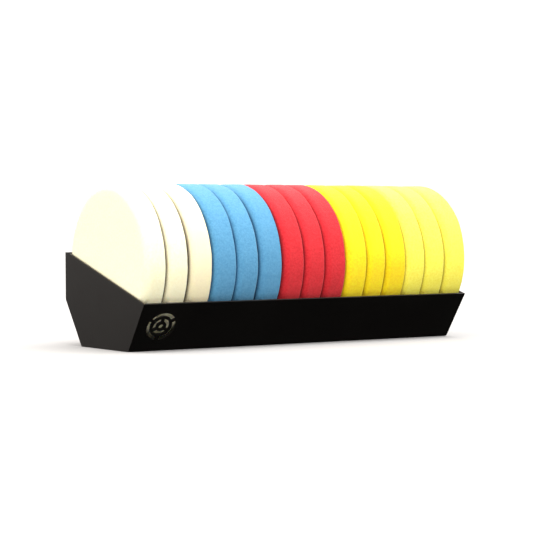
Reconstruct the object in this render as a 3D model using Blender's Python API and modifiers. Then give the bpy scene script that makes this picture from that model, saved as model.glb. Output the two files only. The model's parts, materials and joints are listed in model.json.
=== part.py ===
"""A wall rack for polishing pads: a folded steel tray between two end plates, holding a row of fifteen round
foam pads on edge. Each pad is a foam disc with a hook-and-loop disc on its back.

+X runs along the rack, +Y points into the wall and +Z is up. The origin is on the wall plane, at the middle of
the rack's length and level with its screw holes.
"""

import math

import bmesh
import bpy
from mathutils import Matrix, Vector

# Driving dimensions, in metres.
RACK_LENGTH = 0.3706
SHEET = 0.0015
BEND_RADIUS = 0.003  # outer radius of the folds
GAP = 0.0003  # between pieces that touch

# The tray's outer section: distance out from the wall, and height above its underside.
BACK_HEIGHT = 0.0885
BACK_FOLD_HEIGHT = 0.0435
FLOOR_REAR = 0.0315
FLOOR_FRONT = 0.121
FRONT_REACH = 0.1505
FRONT_HEIGHT = 0.044

SCREW_HEIGHT = 0.066  # above the underside
SCREW_SPACING = 0.280
SCREW_HOLE_RADIUS = 0.0025

SHOULDER_WIDTH = 0.008  # flat top of an end plate, beside the wall
SHOULDER_DROP = 0.001

PAD_RADIUS = 0.0745
PAD_SIDE_PLAY = 0.0005  # between the row of pads and each end plate
PAD_OUT = 0.0775  # pad axis from the wall
PAD_HEIGHT = 0.0783  # pad axis above the underside
FACE_RIM_RADIUS = 0.008  # the working face's round edge
BACK_EDGE_RADIUS = 0.001
LOOP_THICKNESS = 0.002
LOOP_RADIUS = 0.0715
PAD_STEPS = 36
FACE_RIM_STEPS = 4

EMBLEM_INSET = 0.0255  # its centre from the rack's left end
EMBLEM_BELOW_EDGE = 0.0255  # its centre from the front panel's top edge, down the slope
EMBLEM_RINGS = ((0.0112, 0.0148, 0), (0.0052, 0.0084, 60))  # inner radius, outer radius, turn in degrees
EMBLEM_BRIDGE = 0.0028
EMBLEM_HOLE_RADIUS = 0.0024

PADS_PER_COLOUR = 3
FOAMS = {
    "white": (0.96, 0.93, 0.78),
    "blue": (0.16, 0.48, 0.78),
    "red": (0.82, 0.04, 0.07),
    "gold": (0.97, 0.78, 0.03),
    "lemon": (0.97, 0.93, 0.22),
}
SWELL = {  # how much more than an even share of the row each pad takes, as squeezed by its neighbours
    "white": (-0.0036, -0.00035, 0.0001),
    "blue": (0.0014, 0.0009, 0.0017),
    "red": (-0.0002, -0.0004, -0.0005),
    "gold": (0.0005, -0.0016, 0.0),
    "lemon": (-0.0002, 0.0010, 0.00125),
}
EVEN_SHARE = (RACK_LENGTH - 2 * SHEET - 2 * PAD_SIDE_PLAY) / (PADS_PER_COLOUR * len(FOAMS))


def section_point(out, height):
    """A point of the tray's section as (y, z)."""
    return Vector((-out, height - SCREW_HEIGHT))


BACK_TOP = section_point(0, BACK_HEIGHT)
BACK_FOLD = section_point(0, BACK_FOLD_HEIGHT)
REAR_FOLD = section_point(FLOOR_REAR, 0)
FRONT_FOLD = section_point(FLOOR_FRONT, 0)
FRONT_TOP = section_point(FRONT_REACH, FRONT_HEIGHT)


def clear_scene():
    for obj in list(bpy.data.objects):
        bpy.data.objects.remove(obj, do_unlink=True)


def new_collection(name):
    collection = bpy.data.collections.new(name)
    bpy.context.scene.collection.children.link(collection)
    return collection


def new_material(name, colour, roughness, metallic=0.0):
    material = bpy.data.materials.new(name)
    material.use_nodes = True
    shader = material.node_tree.nodes["Principled BSDF"]
    shader.inputs["Base Color"].default_value = (*colour, 1.0)
    shader.inputs["Roughness"].default_value = roughness
    shader.inputs["Metallic"].default_value = metallic
    return material


def link(obj, collection, material=None):
    for old in list(obj.users_collection):
        old.objects.unlink(obj)
    collection.objects.link(obj)
    if material:
        obj.data.materials.append(material)
    return obj


def make_cutter(obj, cutters):
    link(obj, cutters)
    obj.hide_render = True
    obj.display_type = "WIRE"
    return obj


def cut(obj, cutter):
    boolean = obj.modifiers.new(f"cut {cutter.name}", "BOOLEAN")
    boolean.operation = "DIFFERENCE"
    boolean.solver = "EXACT"
    boolean.object = cutter


def arc(centre, radius, start, end, steps):
    """Points on a circle from one angle to another, both included."""
    angles = [start + (end - start) * i / steps for i in range(steps + 1)]
    return [centre + radius * Vector((math.cos(a), math.sin(a))) for a in angles]


def fold(before, corner, after, radius, steps=4):
    """The round stretch that replaces a corner where a sheet is folded."""
    inward = (before - corner).normalized()
    onward = (after - corner).normalized()
    half = inward.angle(onward) / 2
    centre = corner + (inward + onward).normalized() * radius / math.sin(half)
    first = corner + inward * radius / math.tan(half) - centre
    sweep = first.angle_signed(corner + onward * radius / math.tan(half) - centre)
    turn = math.atan2(first.y, first.x)
    return arc(centre, radius, turn, turn - sweep, steps)


def tray_section():
    """The sheet's outer line from the back's top edge to the front's, with its three folds."""
    return [
        BACK_TOP,
        *fold(BACK_TOP, BACK_FOLD, REAR_FOLD, BEND_RADIUS),
        *fold(BACK_FOLD, REAR_FOLD, FRONT_FOLD, BEND_RADIUS),
        *fold(REAR_FOLD, FRONT_FOLD, FRONT_TOP, BEND_RADIUS),
        FRONT_TOP,
    ]


def flat_outline(name, outlines, half_thickness):
    """A 2D curve object of closed outlines, filled and given its thickness."""
    curve = bpy.data.curves.new(name, "CURVE")
    curve.dimensions = "2D"
    curve.fill_mode = "BOTH"
    curve.extrude = half_thickness
    for outline in outlines:
        spline = curve.splines.new("POLY")
        spline.points.add(len(outline) - 1)
        for point, place in zip(spline.points, outline):
            point.co = (place.x, place.y, 0, 1)
        spline.use_cyclic_u = True
    return bpy.data.objects.new(name, curve)


def mesh_from_curve(curve_object, name):
    """The curve's solid as a mesh object in the same place, with its caps welded on."""
    bpy.context.view_layer.update()
    graph = bpy.context.evaluated_depsgraph_get()
    mesh = bpy.data.meshes.new_from_object(curve_object.evaluated_get(graph))
    solid = bmesh.new()
    solid.from_mesh(mesh)
    bmesh.ops.remove_doubles(solid, verts=solid.verts, dist=1e-6)
    bmesh.ops.recalc_face_normals(solid, faces=solid.faces)
    solid.to_mesh(mesh)
    solid.free()
    obj = bpy.data.objects.new(name, mesh)
    obj.matrix_world = curve_object.matrix_world
    bpy.data.objects.remove(curve_object, do_unlink=True)
    return obj


def make_tray_sheet(parts, steel):
    """One sheet folded three times, as an open surface with a thickness."""
    half_length = RACK_LENGTH / 2 - SHEET - GAP
    surface = bmesh.new()
    line = [surface.verts.new((-half_length, p.x, p.y)) for p in tray_section()]
    edges = [surface.edges.new(pair) for pair in zip(line, line[1:])]
    swept = bmesh.ops.extrude_edge_only(surface, edges=edges)["geom"]
    moved = [item for item in swept if isinstance(item, bmesh.types.BMVert)]
    bmesh.ops.translate(surface, verts=moved, vec=(2 * half_length, 0, 0))
    bmesh.ops.recalc_face_normals(surface, faces=surface.faces)
    mesh = bpy.data.meshes.new("tray_sheet")
    surface.to_mesh(mesh)
    surface.free()
    obj = link(bpy.data.objects.new("tray_sheet", mesh), parts, steel)
    underside = next(f for f in mesh.polygons if abs(f.normal.z) > 0.99)
    thicken = obj.modifiers.new("sheet thickness", "SOLIDIFY")
    thicken.thickness = SHEET
    thicken.offset = -1 if underside.normal.z < 0 else 1
    thicken.use_even_offset = True
    return obj


def make_screw_holes(tray, cutters):
    for side, sign in (("left", -1), ("right", 1)):
        bpy.ops.mesh.primitive_cylinder_add(
            vertices=16,
            radius=SCREW_HOLE_RADIUS,
            depth=6 * SHEET,
            location=(sign * SCREW_SPACING / 2, 0, 0),
            rotation=(math.pi / 2, 0, 0),
        )
        cutter = bpy.context.object
        cutter.name = f"{side}_screw_hole"
        cut(tray, make_cutter(cutter, cutters))


def emblem_outlines():
    """A plain ring badge: two rings of three curved slots round a hole."""
    centre = Vector((0, 0))
    outlines = [arc(centre, EMBLEM_HOLE_RADIUS, 0, 2 * math.pi * 11 / 12, 11)]
    for inner, outer, turn in EMBLEM_RINGS:
        for slot in range(3):
            middle = math.radians(turn + 120 * slot + 90)
            reach_out = math.pi / 3 - EMBLEM_BRIDGE / 2 / outer
            reach_in = math.pi / 3 - EMBLEM_BRIDGE / 2 / inner
            outside = arc(centre, outer, middle - reach_out, middle + reach_out, 10)
            inside = arc(centre, inner, middle + reach_in, middle - reach_in, 8)
            outlines.append(outside + inside)
    return outlines


def make_emblem(tray, cutters):
    """Cuts the badge through the front panel, square to its slope."""
    up_slope = (FRONT_TOP - FRONT_FOLD).normalized()
    centre = FRONT_TOP - up_slope * EMBLEM_BELOW_EDGE
    outline = flat_outline("emblem_outline", emblem_outlines(), 4 * SHEET)
    along = Vector((1, 0, 0))
    up = Vector((0, up_slope.x, up_slope.y))
    outward = along.cross(up)
    outline.matrix_world = Matrix.Translation(
        (EMBLEM_INSET - RACK_LENGTH / 2, centre.x, centre.y)
    ) @ Matrix((along, up, outward)).transposed().to_4x4()
    bpy.context.scene.collection.objects.link(outline)
    cutter = mesh_from_curve(outline, "emblem_cutter")
    cut(tray, make_cutter(cutter, cutters))


def make_end_plates(parts, steel):
    """A plate welded on each end of the folded sheet, with a low shoulder beside the wall."""
    shoulder_edge = BACK_TOP - Vector((SHOULDER_WIDTH, 0))
    shoulder_foot = shoulder_edge - Vector((0, SHOULDER_DROP))
    outline = [shoulder_edge, *tray_section(), shoulder_foot]
    for side, sign in (("left", -1), ("right", 1)):
        plate = flat_outline(f"{side}_end_plate", [outline], SHEET / 2)
        plate.location = (sign * (RACK_LENGTH - SHEET) / 2, 0, 0)
        plate.rotation_euler = (math.pi / 2, 0, math.pi / 2)
        link(plate, parts, steel)


def foam_mesh(thickness):
    """A disc with a round front edge: half its outline, turned about Z. The working face is at -Z."""
    half = thickness / 2
    back_edge = Vector((PAD_RADIUS - BACK_EDGE_RADIUS, half - BACK_EDGE_RADIUS))
    face_rim = Vector((PAD_RADIUS - FACE_RIM_RADIUS, FACE_RIM_RADIUS - half))
    outline = [
        Vector((0, half)),
        *arc(back_edge, BACK_EDGE_RADIUS, math.pi / 2, 0, 1),
        *arc(face_rim, FACE_RIM_RADIUS, 0, -math.pi / 2, FACE_RIM_STEPS),
        Vector((0, -half)),
    ]
    mesh = bpy.data.meshes.new("foam_outline")
    edges = [(i, i + 1) for i in range(len(outline) - 1)]
    mesh.from_pydata([(p.x, 0, p.y) for p in outline], edges, [])
    return mesh


def make_foam(name, share, seat, parts, material):
    """The foam fills the front of the pad's share of the row."""
    thickness = share - LOOP_THICKNESS - 2 * GAP
    obj = link(bpy.data.objects.new(f"{name}_foam", foam_mesh(thickness)), parts, material)
    obj.parent = seat
    obj.location = ((thickness - share + GAP) / 2, 0, 0)
    obj.rotation_euler = (0, math.pi / 2, 0)
    turn = obj.modifiers.new("turned foam", "SCREW")
    turn.steps = turn.render_steps = PAD_STEPS
    turn.use_merge_vertices = True
    turn.merge_threshold = 0.0001
    turn.use_smooth_shade = True


def make_loop(name, share, seat, parts, material):
    """The hook-and-loop disc lies behind the foam."""
    bpy.ops.mesh.primitive_cylinder_add(
        vertices=PAD_STEPS, radius=LOOP_RADIUS, depth=LOOP_THICKNESS, rotation=(0, math.pi / 2, 0)
    )
    obj = bpy.context.object
    obj.name = f"{name}_loop"
    link(obj, parts, material)
    obj.data.shade_smooth()
    obj.data.set_sharp_from_angle(angle=math.radians(40))
    obj.parent = seat
    obj.location = ((share - LOOP_THICKNESS - GAP) / 2, 0, 0)


def make_pads(parts, loop_cloth):
    """The row of pads, left to right. Each pad hangs on an empty at its own middle, which it lifts out with."""
    filled = -RACK_LENGTH / 2 + SHEET + PAD_SIDE_PLAY
    axis = section_point(PAD_OUT, PAD_HEIGHT)
    for colour, rgb in FOAMS.items():
        foam = new_material(f"{colour}_foam", rgb, 0.9)
        for number, swell in enumerate(SWELL[colour], start=1):
            name = f"{colour}_pad_{number}"
            share = EVEN_SHARE + swell
            seat = link(bpy.data.objects.new(f"{name}_seat", None), parts)
            seat.location = (filled + share / 2, axis.x, axis.y)
            make_foam(name, share, seat, parts, foam)
            make_loop(name, share, seat, parts, loop_cloth)
            filled += share


def main():
    clear_scene()
    parts = new_collection("polishing_pad_rack")
    cutters = new_collection("cutters")
    steel = new_material("black_powder_coat", (0.012, 0.012, 0.013), 0.5)
    loop_cloth = new_material("loop_cloth", (0.045, 0.045, 0.048), 0.95)
    tray = make_tray_sheet(parts, steel)
    make_screw_holes(tray, cutters)
    make_emblem(tray, cutters)
    make_end_plates(parts, steel)
    make_pads(parts, loop_cloth)


main()
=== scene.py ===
import json
import math

import bmesh
import bpy
from mathutils import Matrix, Vector

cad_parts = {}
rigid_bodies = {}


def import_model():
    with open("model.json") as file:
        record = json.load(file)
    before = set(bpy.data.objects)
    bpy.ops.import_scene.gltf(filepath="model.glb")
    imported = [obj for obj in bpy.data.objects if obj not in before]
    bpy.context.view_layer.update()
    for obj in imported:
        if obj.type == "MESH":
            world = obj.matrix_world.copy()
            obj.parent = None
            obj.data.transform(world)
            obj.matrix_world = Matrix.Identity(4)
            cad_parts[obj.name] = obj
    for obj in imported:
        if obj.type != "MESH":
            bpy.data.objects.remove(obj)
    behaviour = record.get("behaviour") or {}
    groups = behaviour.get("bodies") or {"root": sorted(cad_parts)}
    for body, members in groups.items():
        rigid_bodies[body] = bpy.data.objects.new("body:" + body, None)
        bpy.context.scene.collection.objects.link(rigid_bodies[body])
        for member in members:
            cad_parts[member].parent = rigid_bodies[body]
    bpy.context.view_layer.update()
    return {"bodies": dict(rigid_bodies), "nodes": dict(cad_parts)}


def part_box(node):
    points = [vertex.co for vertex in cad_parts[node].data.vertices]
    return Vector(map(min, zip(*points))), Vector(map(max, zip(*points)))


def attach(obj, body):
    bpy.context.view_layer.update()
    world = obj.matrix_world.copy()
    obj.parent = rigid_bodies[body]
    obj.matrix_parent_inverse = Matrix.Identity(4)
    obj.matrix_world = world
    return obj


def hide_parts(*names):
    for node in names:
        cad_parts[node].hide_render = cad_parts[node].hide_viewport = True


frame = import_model()
scene = bpy.context.scene
scene.view_settings.view_transform = "Standard"
print("frame loaded:", len(frame["nodes"]), "CAD nodes")

plateLow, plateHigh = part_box("left_end_plate")
rackLeft, rackRight = plateLow.x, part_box("right_end_plate")[1].x
underside, rackTop = plateLow.z, plateHigh.z

samePlace = 1e-5  # metres: corners closer than this count as one


def pick(piece):
    bpy.ops.object.select_all(action="DESELECT")
    piece.select_set(True)
    bpy.context.view_layer.objects.active = piece


def settle(piece):  # puts the piece's place, turn and size into its mesh
    pick(piece)
    bpy.ops.object.transform_apply(location=True, rotation=True, scale=True)


def openEdit(piece):
    pick(piece)
    bpy.ops.object.mode_set(mode="EDIT")


def closeEdit():
    bpy.ops.object.mode_set(mode="OBJECT")


def choose(piece, kind, wanted):  # selects the corners, edges or faces that wanted() accepts
    bpy.ops.mesh.select_mode(type=kind)
    bpy.ops.mesh.select_all(action="DESELECT")
    shape = bmesh.from_edit_mesh(piece.data)
    for item in {"VERT": shape.verts, "EDGE": shape.edges, "FACE": shape.faces}[kind]:
        if wanted(item):
            item.select_set(True)
    bmesh.update_edit_mesh(piece.data)


def finishWith(piece, kind, **settings):
    pick(piece)
    modifier = piece.modifiers.new(kind.lower(), kind)
    for setting, value in settings.items():
        setattr(modifier, setting, value)
    bpy.ops.object.modifier_apply(modifier=modifier.name)


def smooth(piece, degrees=35):
    pick(piece)
    bpy.ops.object.shade_smooth_by_angle(angle=math.radians(degrees))


def paint(piece, material):
    piece.data.materials.clear()
    piece.data.materials.append(material)


def newMaterial(name):
    material = bpy.data.materials.new(name)
    material.use_nodes = True
    tree = material.node_tree
    return material, tree, tree.nodes["Principled BSDF"]


def setSockets(node, **numbers):
    for name, number in numbers.items():
        node.inputs[name.replace("_", " ")].default_value = number


def objectPlace(tree):
    return tree.nodes.new("ShaderNodeTexCoord").outputs["Object"]


def noise(tree, place, scale, detail=3.0, roughness=0.55):
    node = tree.nodes.new("ShaderNodeTexNoise")
    setSockets(node, Scale=scale, Detail=detail, Roughness=roughness)
    tree.links.new(place, node.inputs["Vector"])
    return node.outputs["Fac"]


def cells(tree, place, scale):
    node = tree.nodes.new("ShaderNodeTexVoronoi")
    setSockets(node, Scale=scale)
    tree.links.new(place, node.inputs["Vector"])
    return node.outputs["Distance"]


def remap(tree, value, low, high, newLow, newHigh):
    node = tree.nodes.new("ShaderNodeMapRange")
    setSockets(node, From_Min=low, From_Max=high, To_Min=newLow, To_Max=newHigh)
    tree.links.new(value, node.inputs["Value"])
    return node.outputs["Result"]


def combine(tree, operation, first, second):
    node = tree.nodes.new("ShaderNodeMath")
    node.operation = operation
    tree.links.new(first, node.inputs[0])
    tree.links.new(second, node.inputs[1])
    return node.outputs[0]


def blendColours(tree, share, first, second):  # first may be another node's colour
    node = tree.nodes.new("ShaderNodeMix")
    node.data_type = "RGBA"  # its colour sockets are inputs 6 and 7 and output 2
    if isinstance(first, tuple):
        node.inputs[6].default_value = (*first, 1)
    else:
        tree.links.new(first, node.inputs[6])
    node.inputs[7].default_value = (*second, 1)
    tree.links.new(share, node.inputs[0])
    return node.outputs[2]


def bump(tree, height, distance, strength):
    node = tree.nodes.new("ShaderNodeBump")
    setSockets(node, Distance=distance, Strength=strength)
    tree.links.new(height, node.inputs["Height"])
    return node.outputs["Normal"]


foamLook = {
    "poreScale": 1500,
    "grainScale": 480,
    "mottleScale": 45,
    "poreMix": (0.05, 0.45, 0.5, 0.0),  # a pattern's range, then the share of pore colour it gives
    "grainMix": (0.35, 0.65, 0.55, -0.15),
    "mottleMix": (0.3, 0.7, 0.12, 0.0),
    "poreHeight": (0.0, 0.5, 0.0, 0.7),  # a pattern's range, then the height it gives
    "grainHeight": (0.3, 0.7, 0.0, 0.5),
    "poreDepth": 0.0004,
    "poreStrength": 0.6,
    "roughness": 0.95,
    "gloss": 0.15,
    "scatterDepth": 0.0035,
    "sheen": 0.18,
    "sheenRoughness": 0.5,
    # painted shade in the creases between pads, darkest where a spot is most closed in
    "creaseReach": 0.007,
    "creaseOpen": 0.75,  # how open a spot is where the painted crease shade starts, and where it is darkest
    "creaseClosed": 0.20,
    "creaseFacing": (0.01, 0.15),  # how far sideways a face looks, squared, for none and all of the painted crease shade
}

# each colour's creases colour is painted shade, laid where two pads meet
foamColours = {
    "white": {
        "surface": (0.98, 0.93, 0.66),
        "pores": (0.93, 0.85, 0.56),
        "creaseShade": (0.11, 0.08, 0.045),
        "deeper": (0.78, 0.66, 0.42),
        "scatter": 0.3,
        "lightReach": (1.0, 0.8, 0.5),  # how far red, green and blue light goes in
    },
    "blue": {
        "surface": (0.108, 0.325, 0.53),
        "pores": (0.065, 0.240, 0.43),
        "creaseShade": (0.006, 0.065, 0.18),
        "deeper": (0.08, 0.25, 0.42),
        "scatter": 0.05,
        "lightReach": (0.2, 0.6, 1.0),
    },
    "red": {
        "surface": (0.68, 0.029, 0.039),
        "pores": (0.51, 0.012, 0.018),
        "creaseShade": (0.20, 0.004, 0.009),
        "deeper": (0.50, 0.012, 0.02),
        "scatter": 0.12,
        "lightReach": (1.0, 0.2, 0.2),
    },
    "gold": {
        "surface": (0.97, 0.77, 0.014),
        "pores": (0.88, 0.58, 0.006),
        "creaseShade": (0.40, 0.20, 0.001),
        "deeper": (0.88, 0.56, 0.006),
        "scatter": 0.4,
        "lightReach": (1.0, 0.8, 0.1),
    },
    "lemon": {
        "surface": (0.97, 0.88, 0.12),
        "pores": (0.88, 0.74, 0.055),
        "creaseShade": (0.38, 0.25, 0.008),
        "deeper": (0.88, 0.72, 0.05),
        "scatter": 0.4,
        "lightReach": (1.0, 0.9, 0.3),
    },
}


def paintedShadeShare(tree):  # painted shade: 1 deep between two pads, 0 out in the open or on the rim
    node = tree.nodes.new("ShaderNodeAmbientOcclusion")
    node.samples = 8
    setSockets(node, Distance=foamLook["creaseReach"])
    facing = tree.nodes.new("ShaderNodeSeparateXYZ")
    tree.links.new(tree.nodes.new("ShaderNodeTexCoord").outputs["Normal"], facing.inputs[0])
    sideways = combine(tree, "MULTIPLY", facing.outputs["X"], facing.outputs["X"])
    onSide = remap(tree, sideways, *foamLook["creaseFacing"], 0.0, 1.0)
    shut = remap(tree, node.outputs["AO"], foamLook["creaseClosed"], foamLook["creaseOpen"], 1.0, 0.0)
    return combine(tree, "MULTIPLY", shut, onSide)


def makeFoamMaterial(name, colour, deepening):
    look = foamColours[colour]
    surface = tuple(Vector(look["surface"]).lerp(Vector(look["deeper"]), deepening))
    material, tree, shader = newMaterial(f"{name}Foam")
    place = objectPlace(tree)
    pores = cells(tree, place, foamLook["poreScale"])
    grain = noise(tree, place, foamLook["grainScale"], detail=3.0, roughness=0.65)
    mottle = noise(tree, place, foamLook["mottleScale"], detail=3.0, roughness=0.5)
    poreShare = remap(tree, pores, *foamLook["poreMix"])
    grainShare = remap(tree, grain, *foamLook["grainMix"])
    mottleShare = remap(tree, mottle, *foamLook["mottleMix"])
    share = combine(tree, "ADD", poreShare, combine(tree, "ADD", grainShare, mottleShare))
    foamColour = blendColours(tree, share, surface, look["pores"])
    # painted shade: the foam's colour darkened towards its crease colour where two pads meet
    shaded = blendColours(tree, paintedShadeShare(tree), foamColour, look["creaseShade"])
    tree.links.new(shaded, shader.inputs["Base Color"])
    pits = remap(tree, pores, *foamLook["poreHeight"])
    height = combine(tree, "ADD", pits, remap(tree, grain, *foamLook["grainHeight"]))
    bumps = bump(tree, height, foamLook["poreDepth"], foamLook["poreStrength"])
    tree.links.new(bumps, shader.inputs["Normal"])
    setSockets(
        shader,
        Roughness=foamLook["roughness"],
        Specular_IOR_Level=foamLook["gloss"],
        Subsurface_Weight=look["scatter"],
        Subsurface_Radius=look["lightReach"],
        Subsurface_Scale=foamLook["scatterDepth"],
        Sheen_Weight=foamLook["sheen"],
        Sheen_Roughness=foamLook["sheenRoughness"],
    )
    return material


loopLook = {
    "loopColour": (0.040, 0.040, 0.042),
    "gapColour": (0.018, 0.018, 0.019),  # down between the loops
    "loopScale": 1100,
    "mattingScale": 420,
    "pileDepth": 0.0004,
    "pileStrength": 0.8,
    "roughness": 0.9,
    "gloss": 0.3,
    "sheen": 0.1,
    "sheenRoughness": 0.4,
}


def makeLoopMaterial():
    material, tree, shader = newMaterial("loopCloth")
    place = objectPlace(tree)
    loops = cells(tree, place, loopLook["loopScale"])
    matting = noise(tree, place, loopLook["mattingScale"], detail=2.0, roughness=0.6)
    share = remap(tree, loops, 0.1, 0.6, 0.0, 1.0)
    colour = blendColours(tree, share, loopLook["loopColour"], loopLook["gapColour"])
    tree.links.new(colour, shader.inputs["Base Color"])
    height = combine(tree, "ADD", remap(tree, loops, 0.0, 0.6, 1.0, 0.0), matting)
    bumps = bump(tree, height, loopLook["pileDepth"], loopLook["pileStrength"])
    tree.links.new(bumps, shader.inputs["Normal"])
    setSockets(
        shader,
        Roughness=loopLook["roughness"],
        Specular_IOR_Level=loopLook["gloss"],
        Sheen_Weight=loopLook["sheen"],
        Sheen_Roughness=loopLook["sheenRoughness"],
    )
    return material


powderCoat = {
    "colour": (0.0032, 0.0030, 0.0028),
    "speck": (0.0070, 0.0066, 0.0062),
    "speckScale": 2600,
    "cloudScale": 18,  # slow change in how matt the coat is
    "roughness": (0.40, 0.50),
    "peelScale": 650,
    "peelDepth": 0.00004,
    "peelStrength": 0.8,
    "gloss": 0.32,
    "glossTint": (1.0, 0.90, 0.84),
}


def makePowderCoat():
    material, tree, shader = newMaterial("blackPowderCoat")
    place = objectPlace(tree)
    peel = noise(tree, place, powderCoat["peelScale"], detail=2.0, roughness=0.5)
    speck = noise(tree, place, powderCoat["speckScale"], detail=1.0, roughness=0.5)
    cloud = noise(tree, place, powderCoat["cloudScale"], detail=3.0, roughness=0.5)
    share = remap(tree, speck, 0.55, 0.75, 0.0, 1.0)
    colour = blendColours(tree, share, powderCoat["colour"], powderCoat["speck"])
    tree.links.new(colour, shader.inputs["Base Color"])
    tree.links.new(remap(tree, cloud, 0.3, 0.7, *powderCoat["roughness"]), shader.inputs["Roughness"])
    bumps = bump(tree, peel, powderCoat["peelDepth"], powderCoat["peelStrength"])
    tree.links.new(bumps, shader.inputs["Normal"])
    setSockets(
        shader,
        Specular_IOR_Level=powderCoat["gloss"],
        Specular_Tint=(*powderCoat["glossTint"], 1),
    )
    return material


tray = {
    "sheet": 0.0015,
    "bend": 0.003,  # outer radius of the folds
    "backFold": 0.0435,  # heights above the underside
    "frontTop": 0.044,
    "floorRear": -0.0315,  # distances from the wall
    "floorFront": -0.121,
    "frontReach": -0.1505,
    "shoulder": (-0.008, 0.001),  # the end plates' flat step: its width and drop
    "cutEdge": 0.0003,  # rounding of the cut edges under the coating
    "cutEdgeSteps": 2,
    "bendSteps": 8,
}

corners = [  # the tray's outer section as (y, z), from the back's top edge to the front's
    Vector((0, rackTop)),
    Vector((0, underside + tray["backFold"])),
    Vector((tray["floorRear"], underside)),
    Vector((tray["floorFront"], underside)),
    Vector((tray["frontReach"], underside + tray["frontTop"])),
]

shoulder, shoulderDrop = tray["shoulder"]
shoulderEnd = Vector((shoulder, rackTop - shoulderDrop))  # where an end plate's edge starts to slope


def foldOffset(before, corner, after):
    return tray["bend"] * math.tan((corner - before).angle(after - corner) / 2)


def isAt(vertex, place):
    return abs(vertex.co.y - place.x) < samePlace and abs(vertex.co.z - place.y) < samePlace


def roundCutEdges(piece):
    finishWith(
        piece,
        "BEVEL",
        width=tray["cutEdge"],
        segments=tray["cutEdgeSteps"],
        limit_method="ANGLE",
        angle_limit=math.radians(60),
        harden_normals=False,
    )
    smooth(piece)
    finishWith(piece, "WEIGHTED_NORMAL", keep_sharp=True)


def makeTraySheet():
    top, fold = corners[0], corners[1]
    bpy.ops.mesh.primitive_plane_add(
        size=1, location=(0, 0, (top.y + fold.y) / 2), rotation=(math.radians(-90), 0, 0)
    )
    sheet = bpy.context.object
    sheet.name = "traySheet"
    sheet.scale = (rackRight - rackLeft - 2 * tray["sheet"], top.y - fold.y, 1)
    settle(sheet)
    openEdit(sheet)
    for start, end in zip(corners[1:], corners[2:]):
        choose(sheet, "EDGE", lambda edge: all(isAt(v, start) for v in edge.verts))
        step = (0, end.x - start.x, end.y - start.y)
        bpy.ops.mesh.extrude_region_move(TRANSFORM_OT_translate={"value": step})
    for before, corner, after in zip(corners, corners[1:], corners[2:]):
        choose(sheet, "EDGE", lambda edge: all(isAt(v, corner) for v in edge.verts))
        bpy.ops.mesh.bevel(
            offset=foldOffset(before, corner, after), segments=tray["bendSteps"], profile=0.5
        )
    closeEdit()
    back = max(sheet.data.polygons, key=lambda face: face.center.z)
    inwards = -1 if back.normal.y > 0 else 1
    finishWith(sheet, "SOLIDIFY", thickness=tray["sheet"], offset=inwards, use_even_offset=True)
    return sheet


def makeEndPlate(side):
    low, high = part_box(f"{side}_end_plate")
    outside, outward = (low.x, -1) if side == "left" else (high.x, 1)
    bpy.ops.mesh.primitive_plane_add(
        size=1,
        location=(outside, (low.y + high.y) / 2, (low.z + high.z) / 2),
        rotation=(0, math.radians(90), 0),
    )
    plate = bpy.context.object
    plate.name = f"{side}EndPlate"
    plate.scale = (high.z - low.z, high.y - low.y, 1)
    settle(plate)
    openEdit(plate)
    for first, second in ((corners[1], corners[2]), (corners[3], corners[4])):
        run = second - first
        bpy.ops.mesh.select_all(action="SELECT")
        bpy.ops.mesh.bisect(
            plane_co=(outside, first.x, first.y), plane_no=(0, -run.y, run.x), clear_outer=True
        )
    bpy.ops.mesh.select_all(action="SELECT")
    bpy.ops.mesh.bisect(plane_co=(outside, shoulder, 0), plane_no=(0, 1, 0))
    choose(plate, "FACE", lambda face: face.calc_center_median().y < shoulder)
    bpy.ops.mesh.split()  # so that trimming the front leaves the shoulder whole
    run = corners[4] - shoulderEnd
    bpy.ops.mesh.bisect(
        plane_co=(outside, shoulderEnd.x, shoulderEnd.y),
        plane_no=(0, run.y, -run.x),
        clear_outer=True,
    )
    bpy.ops.mesh.select_all(action="SELECT")
    bpy.ops.mesh.bisect(plane_co=(outside, 0, shoulderEnd.y), plane_no=(0, 0, 1))
    bpy.ops.mesh.select_all(action="SELECT")
    bpy.ops.mesh.remove_doubles(threshold=samePlace)
    bpy.ops.mesh.dissolve_limited(angle_limit=math.radians(1))
    for before, corner, after in zip(corners, corners[1:], corners[2:]):
        choose(plate, "VERT", lambda vertex: isAt(vertex, corner))
        bpy.ops.mesh.bevel(
            affect="VERTICES",
            offset=foldOffset(before, corner, after),
            segments=tray["bendSteps"],
            profile=0.5,
        )
    closeEdit()
    inwards = -1 if plate.data.polygons[0].normal.x * outward > 0 else 1
    finishWith(plate, "SOLIDIFY", thickness=tray["sheet"], offset=inwards)
    roundCutEdges(plate)
    return plate


badge = {
    "inset": 0.0255,  # its middle from the rack's left end
    "belowEdge": 0.0255,  # its middle from the front's top edge, down the slope
    "rings": ((0.0112, 0.0148, 0), (0.0052, 0.0084, 60)),  # inner radius, outer radius, degrees turned
    "bridges": 3,  # how many hold each ring's inside
    "bridge": 0.0028,  # their width
    "bridgeTurn": 150,  # degrees round to the first one, in a ring that isn't turned
    "hole": 0.0024,  # radius of the one in the middle
    "cutDepth": 0.012,
    "ringSegments": 72,
    "holeSegments": 32,
}


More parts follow.
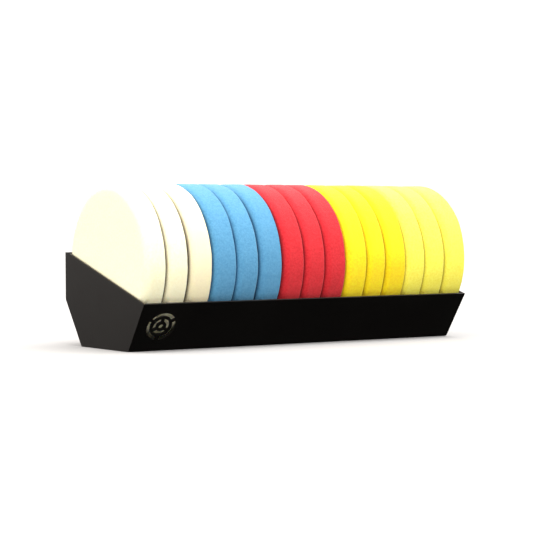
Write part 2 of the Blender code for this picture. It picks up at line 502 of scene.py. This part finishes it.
def makeRingCutter(inner, outer, turn):
    steps = badge["ringSegments"]
    bpy.ops.mesh.primitive_cylinder_add(vertices=steps, radius=outer, depth=badge["cutDepth"])
    ring = bpy.context.object
    bpy.ops.mesh.primitive_cylinder_add(vertices=steps, radius=inner, depth=2 * badge["cutDepth"])
    trims = [bpy.context.object]
    for bridge in range(badge["bridges"]):
        angle = math.radians(turn + 360 / badge["bridges"] * bridge + badge["bridgeTurn"])
        bpy.ops.mesh.primitive_cube_add(
            size=1,
            location=(math.cos(angle) * outer, math.sin(angle) * outer, 0),
            rotation=(0, 0, angle),
            scale=(2 * outer, badge["bridge"], 2 * badge["cutDepth"]),
        )
        trims.append(bpy.context.object)
    for trim in trims:
        finishWith(ring, "BOOLEAN", operation="DIFFERENCE", object=trim)
        bpy.data.objects.remove(trim)
    return ring


def cutBadge(sheet):
    slope = (corners[4] - corners[3]).normalized()
    middle = corners[4] - slope * badge["belowEdge"]
    bpy.ops.mesh.primitive_cylinder_add(
        vertices=badge["holeSegments"], radius=badge["hole"], depth=badge["cutDepth"]
    )
    cutters = [bpy.context.object] + [makeRingCutter(*ring) for ring in badge["rings"]]
    for cutter in cutters:
        cutter.location = (rackLeft + badge["inset"], middle.x, middle.y)
        cutter.rotation_euler = (math.atan2(slope.y, slope.x), 0, 0)
        settle(cutter)
        finishWith(sheet, "BOOLEAN", operation="DIFFERENCE", object=cutter)
        bpy.data.objects.remove(cutter)


screwHoles = {"spacing": 0.280, "radius": 0.0025, "cutDepth": 0.01, "segments": 32}


def cutScrewHoles(sheet):
    for sign in (-1, 1):
        bpy.ops.mesh.primitive_cylinder_add(
            vertices=screwHoles["segments"],
            radius=screwHoles["radius"],
            depth=screwHoles["cutDepth"],
            location=(sign * screwHoles["spacing"] / 2, 0, 0),
            rotation=(math.radians(90), 0, 0),
        )
        cutter = bpy.context.object
        settle(cutter)
        finishWith(sheet, "BOOLEAN", operation="DIFFERENCE", object=cutter)
        bpy.data.objects.remove(cutter)


steel = makePowderCoat()
traySheet = makeTraySheet()
cutBadge(traySheet)
cutScrewHoles(traySheet)
roundCutEdges(traySheet)
paint(traySheet, steel)
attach(traySheet, "rack")
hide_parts("tray_sheet")
for side in ("left", "right"):
    plate = makeEndPlate(side)
    paint(plate, steel)
    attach(plate, "rack")
    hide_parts(f"{side}_end_plate")
print("tray made")

pads = [body for body in frame["bodies"] if body != "rack"]
lastPad = max(pads, key=lambda pad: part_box(f"{pad}_foam")[1].x)

clearance = 0.0003  # between the CAD pieces of neighbouring pads, and round a loop disc's seat

foamPad = {
    "segments": 144,
    "faceRim": 0.0080,  # the working face's round edge
    "rimSteps": 8,
    "backEdge": 0.0009,
    "backSteps": 3,
    "rimLoops": (0.5, 0.65, 0.8),  # edge loops round the rim, as shares of the thickness
    "faceRings": 6,
    "lumps": (0.030, 0.0010),  # size and height of slow unevenness round the rim
    "crumbs": (0.004, 0.00025),
    "roughFrom": 0.86,  # share of the radius where the unevenness starts
    "roughOver": 0.08,  # share of the radius in which it grows to all of it
    "slots": {  # open gap behind each colour's pads, at the rim
        "white": (0.0013, 0.0024, 0.0015),
        "blue": (0.0011, 0.0024, 0.0022),
        "red": (0.0011, 0.0011, 0.0008),
        "gold": (0.0005, 0.0010, 0.0004),
        "lemon": (0.0008, 0.0012, 0.0006),
    },
    "deepening": {  # how far each pad's whole colour is moved from its surface colour towards its deeper one
        "white": (0.0, 0.05, 0.50),
        "blue": (0.0, 0.0, 0.10),
        "red": (0.05, 0.0, 0.05),
        "gold": (0.0, 0.05, 0.10),
        "lemon": (0.0, 0.0, 0.0),
    },
}

swell = {
    "out": 0.0018,  # how far the last pad swells out above the right end plate
    "rise": 0.08,  # height above the plate's edge at which it is all the way out
}


def clamp(share):  # keeps it between nothing and all
    return min(1, max(0, share))


def colourAndPlace(pad):  # its colour, and its place among the pads of that colour
    colour, number = pad.split("_pad_")
    return colour, int(number) - 1


def swellOver(piece, thin, thick):  # from nothing at x = thin to all of it at x = thick
    slope = (shoulderEnd - corners[4]).normalized()
    for vertex in piece.data.vertices:
        up, back = vertex.co.z - shoulderEnd.y, vertex.co.y - shoulderEnd.x
        above = up * slope.x - back * slope.y
        share = clamp((vertex.co.x - thin) / (thick - thin))
        vertex.co.x += swell["out"] * share * clamp(above / swell["rise"])


def makeFoamPad(name):
    low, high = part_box(f"{name}_foam")
    loopLow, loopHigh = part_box(f"{name}_loop")
    axis = (low + high) / 2
    radius = (high.z - low.z) / 2
    loopRadius = (loopHigh.z - loopLow.z) / 2
    colour, place = colourAndPlace(name)
    back = loopHigh.x + clearance - foamPad["slots"][colour][place]
    bpy.ops.mesh.primitive_cylinder_add(
        vertices=foamPad["segments"],
        radius=radius,
        depth=back - low.x,
        location=((low.x + back) / 2, axis.y, axis.z),
        rotation=(0, math.radians(90), 0),
    )
    foam = bpy.context.object
    foam.name = f"{name}_foamDisc"
    settle(foam)
    openEdit(foam)
    edges = (
        (low.x, foamPad["faceRim"], foamPad["rimSteps"]),
        (back, foamPad["backEdge"], foamPad["backSteps"]),
    )
    for face, rim, steps in edges:
        choose(foam, "EDGE", lambda edge: all(abs(v.co.x - face) < samePlace for v in edge.verts))
        bpy.ops.mesh.bevel(offset=rim, segments=steps, profile=0.5)
    for share in foamPad["rimLoops"]:
        bpy.ops.mesh.select_all(action="SELECT")
        bpy.ops.mesh.bisect(plane_co=(low.x + share * (back - low.x), 0, 0), plane_no=(1, 0, 0))
    choose(foam, "FACE", lambda face: face.normal.x > 0.999 and len(face.verts) > 4)
    bpy.ops.mesh.inset(thickness=radius - foamPad["backEdge"] - loopRadius - clearance)
    bpy.ops.mesh.extrude_region_move(TRANSFORM_OT_translate={"value": (high.x - back, 0, 0)})
    for ring in range(foamPad["faceRings"]):
        bpy.ops.mesh.inset(thickness=loopRadius / (foamPad["faceRings"] + 0.5))
    choose(foam, "FACE", lambda face: face.normal.x < -0.999 and len(face.verts) > 4)
    for ring in range(foamPad["faceRings"]):
        bpy.ops.mesh.inset(thickness=(radius - foamPad["faceRim"]) / (foamPad["faceRings"] + 0.5))
    closeEdit()
    if name == lastPad:
        swellOver(foam, low.x, high.x)
    roughen(foam, axis, radius)
    return foam


def roughen(foam, axis, radius):
    finishWith(foam, "SUBSURF", subdivision_type="SIMPLE", levels=1, render_levels=1)
    rim = foam.vertex_groups.new(name="rim")
    for vertex in foam.data.vertices:
        out = math.hypot(vertex.co.y - axis.y, vertex.co.z - axis.z) / radius
        rough = clamp((out - foamPad["roughFrom"]) / foamPad["roughOver"])
        rim.add([vertex.index], rough, "REPLACE")
    for kind in ("lumps", "crumbs"):
        size, height = foamPad[kind]
        texture = bpy.data.textures.new(kind, "CLOUDS")
        texture.noise_scale = size
        finishWith(
            foam, "DISPLACE", texture=texture, strength=height, mid_level=0.5, vertex_group="rim"
        )
    foam.vertex_groups.clear()
    smooth(foam, degrees=60)


loopDisc = {
    "segments": 96,
    "edge": 0.0004,
    "edgeSteps": 2,
    "rings": 8,
    "pile": (0.0018, 0.00030),  # size and height of its unevenness
}


def makeLoopDisc(name):
    low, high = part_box(f"{name}_loop")
    middle = (low + high) / 2
    radius = (high.z - low.z) / 2
    bpy.ops.mesh.primitive_cylinder_add(
        vertices=loopDisc["segments"],
        radius=radius,
        depth=high.x - low.x,
        location=middle,
        rotation=(0, math.radians(90), 0),
    )
    disc = bpy.context.object
    disc.name = f"{name}_loopDisc"
    settle(disc)
    openEdit(disc)
    choose(disc, "EDGE", lambda edge: abs(edge.verts[0].co.x - edge.verts[1].co.x) < samePlace)
    bpy.ops.mesh.bevel(offset=loopDisc["edge"], segments=loopDisc["edgeSteps"], profile=0.5)
    for facing in (1, -1):
        choose(disc, "FACE", lambda face: face.normal.x * facing > 0.999 and len(face.verts) > 4)
        for ring in range(loopDisc["rings"]):
            bpy.ops.mesh.inset(thickness=radius / (loopDisc["rings"] + 1))
    closeEdit()
    if name == lastPad:
        swellOver(disc, low.x - loopDisc["edge"], low.x)
    finishWith(disc, "SUBSURF", subdivision_type="SIMPLE", levels=1, render_levels=1)
    size, height = loopDisc["pile"]
    texture = bpy.data.textures.new("pile", "CLOUDS")
    texture.noise_scale = size
    finishWith(disc, "DISPLACE", texture=texture, strength=height, mid_level=0.5)
    smooth(disc, degrees=60)
    return disc


loopCloth = makeLoopMaterial()
for name in pads:
    colour, place = colourAndPlace(name)
    foam = makeFoamPad(name)
    paint(foam, makeFoamMaterial(name, colour, foamPad["deepening"][colour][place]))
    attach(foam, name)
    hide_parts(f"{name}_foam")
    disc = makeLoopDisc(name)
    paint(disc, loopCloth)
    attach(disc, name)
    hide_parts(f"{name}_loop")
print("pads made:", len(pads))

studio = {
    "floorSize": 200,
    "floorDrop": 0.0001,  # keeps it just clear of the underside
    "floorShade": 0.45,
    "horizon": 1.2,
    "zenith": 2.45,
    "skyRise": (0.13, 0.70),  # heights between which the sky goes from one to the other
    "skyColour": (1.0, 0.955, 0.915),
    "groundEdge": (-0.03, -0.005),  # heights between which the light fades in at the horizon
    "roomSide": 0.70,  # the sky in front of the rack, as a share of the sky behind it
    "roomTurn": (-0.8, 0.0),  # a direction's y where it is down to that share, and where it is all there
    "sunStrength": 2.75,
    "sunFrom": (0.20, -0.42, 0.90),
    "sunSpread": 60,
    "fillStrength": 1.90,
    "fillFrom": (-0.78, -0.48, -0.55),
    "fillSpread": 80,
}


def addSun(name, part):
    bpy.ops.object.light_add(type="SUN", location=(0, 0, 2))
    sun = bpy.context.object
    sun.name = name
    sun.data.energy = studio[f"{part}Strength"]
    sun.data.angle = math.radians(studio[f"{part}Spread"])
    sun.rotation_euler = Vector(studio[f"{part}From"]).to_track_quat("Z", "Y").to_euler()
    return sun


def makeStudio():
    bpy.ops.mesh.primitive_plane_add(
        size=studio["floorSize"], location=(0, 0, underside - studio["floorDrop"])
    )
    floor = bpy.context.object
    floor.name = "studioFloor"
    floor.visible_glossy = False  # gloss and bounced light see the dark room below the horizon instead
    floor.visible_diffuse = False
    floor.visible_shadow = False  # lets the fill light through
    material, tree, shader = newMaterial("paleFloor")
    shade = studio["floorShade"]
    setSockets(shader, Base_Color=(shade, shade, shade, 1), Roughness=0.9, Specular_IOR_Level=0.0)
    paint(floor, material)
    world = bpy.data.worlds.new("softStudio")
    scene.world = world
    world.use_nodes = True
    tree = world.node_tree
    backdrop = tree.nodes["Background"]
    place = tree.nodes.new("ShaderNodeTexCoord")
    split = tree.nodes.new("ShaderNodeSeparateXYZ")
    tree.links.new(place.outputs["Generated"], split.inputs[0])
    setSockets(backdrop, Color=(*studio["skyColour"], 1))
    height = split.outputs["Z"]
    sky = remap(tree, height, *studio["skyRise"], studio["horizon"], studio["zenith"])
    ground = remap(tree, height, *studio["groundEdge"], 0.0, 1.0)
    room = remap(tree, split.outputs["Y"], *studio["roomTurn"], studio["roomSide"], 1.0)
    light = combine(tree, "MULTIPLY", combine(tree, "MULTIPLY", sky, ground), room)
    tree.links.new(light, backdrop.inputs["Strength"])
    addSun("keyLight", "sun")
    addSun("fillLight", "fill").visible_glossy = False  # a soft reflector in front, below the rack


shot = {
    "place": (-0.9553, -1.4910, 0.0511),
    "turn": 33.925,  # degrees to the right of straight ahead
    "down": 1.515,
    "roll": -0.253,
    "lens": 117.4,
    "sensor": 36,
    "farthest": 500,
}


def makeCamera():
    bpy.ops.object.camera_add(location=shot["place"])
    camera = bpy.context.object
    camera.name = "studioCamera"
    camera.data.lens = shot["lens"]
    camera.data.sensor_width = shot["sensor"]
    camera.data.clip_end = shot["farthest"]
    camera.matrix_world = (
        Matrix.Translation(shot["place"])
        @ Matrix.Rotation(math.radians(-shot["turn"]), 4, "Z")
        @ Matrix.Rotation(math.radians(90 - shot["down"]), 4, "X")
        @ Matrix.Rotation(math.radians(shot["roll"]), 4, "Z")
    )
    scene.camera = camera


makeStudio()
makeCamera()
print("studio made")
